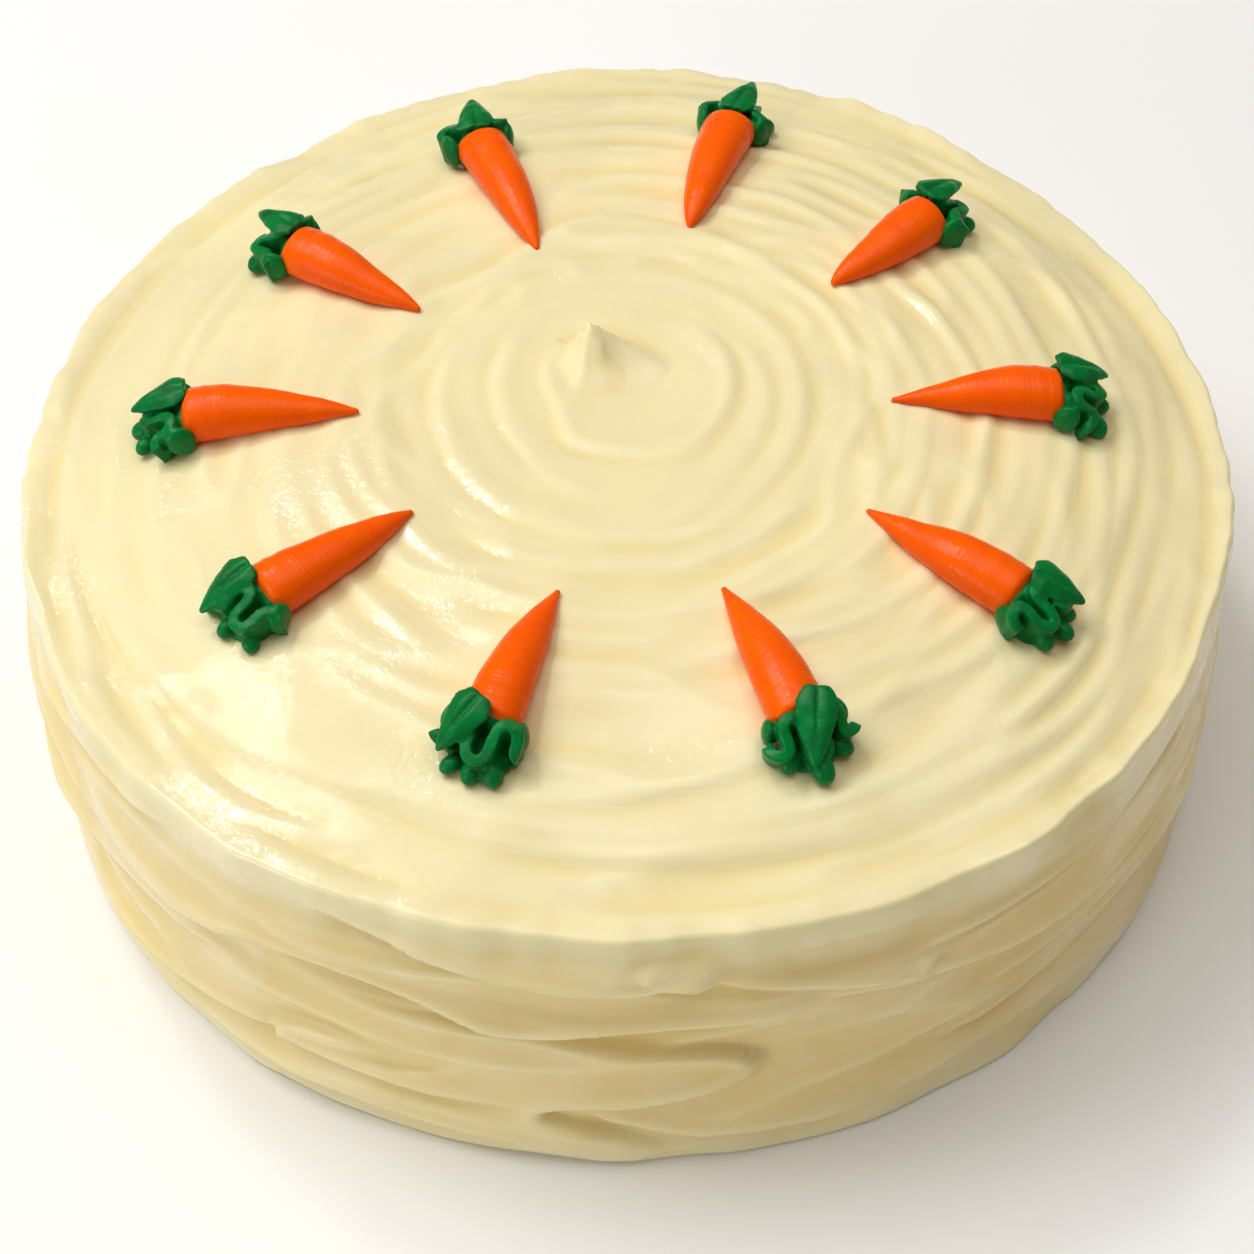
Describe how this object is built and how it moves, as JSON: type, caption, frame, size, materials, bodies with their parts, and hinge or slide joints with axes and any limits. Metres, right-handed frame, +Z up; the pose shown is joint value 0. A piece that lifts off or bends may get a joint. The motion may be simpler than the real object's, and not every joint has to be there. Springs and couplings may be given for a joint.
{
  "type": "carrot cake",
  "caption": "Whole round carrot cake in swirled cream icing, with a ring of piped orange carrots with green tops lying on its top.",
  "frame": {"origin": "centre of the cake's flat underside, where it rests", "axes": "+Z up through the iced top, -Y towards the front, +X to the right seen from the front"},
  "size_m": [0.238, 0.2377, 0.0822],
  "materials": {
    "cream_icing": "soft satin",
    "orange_icing": "soft gloss",
    "green_icing": "soft gloss"
  },
  "bodies": {
    "root": {"frosted_cake": "cream_icing", "carrot_01": "orange_icing", "green_top_01": "green_icing", "carrot_02": "orange_icing", "green_top_02": "green_icing", "carrot_03": "orange_icing", "green_top_03": "green_icing", "carrot_04": "orange_icing", "green_top_04": "green_icing", "carrot_05": "orange_icing", "green_top_05": "green_icing", "carrot_06": "orange_icing", "green_top_06": "green_icing", "carrot_07": "orange_icing", "green_top_07": "green_icing", "carrot_08": "orange_icing", "green_top_08": "green_icing", "carrot_09": "orange_icing", "green_top_09": "green_icing", "carrot_10": "orange_icing", "green_top_10": "green_icing"}
  },
  "joints": []
}
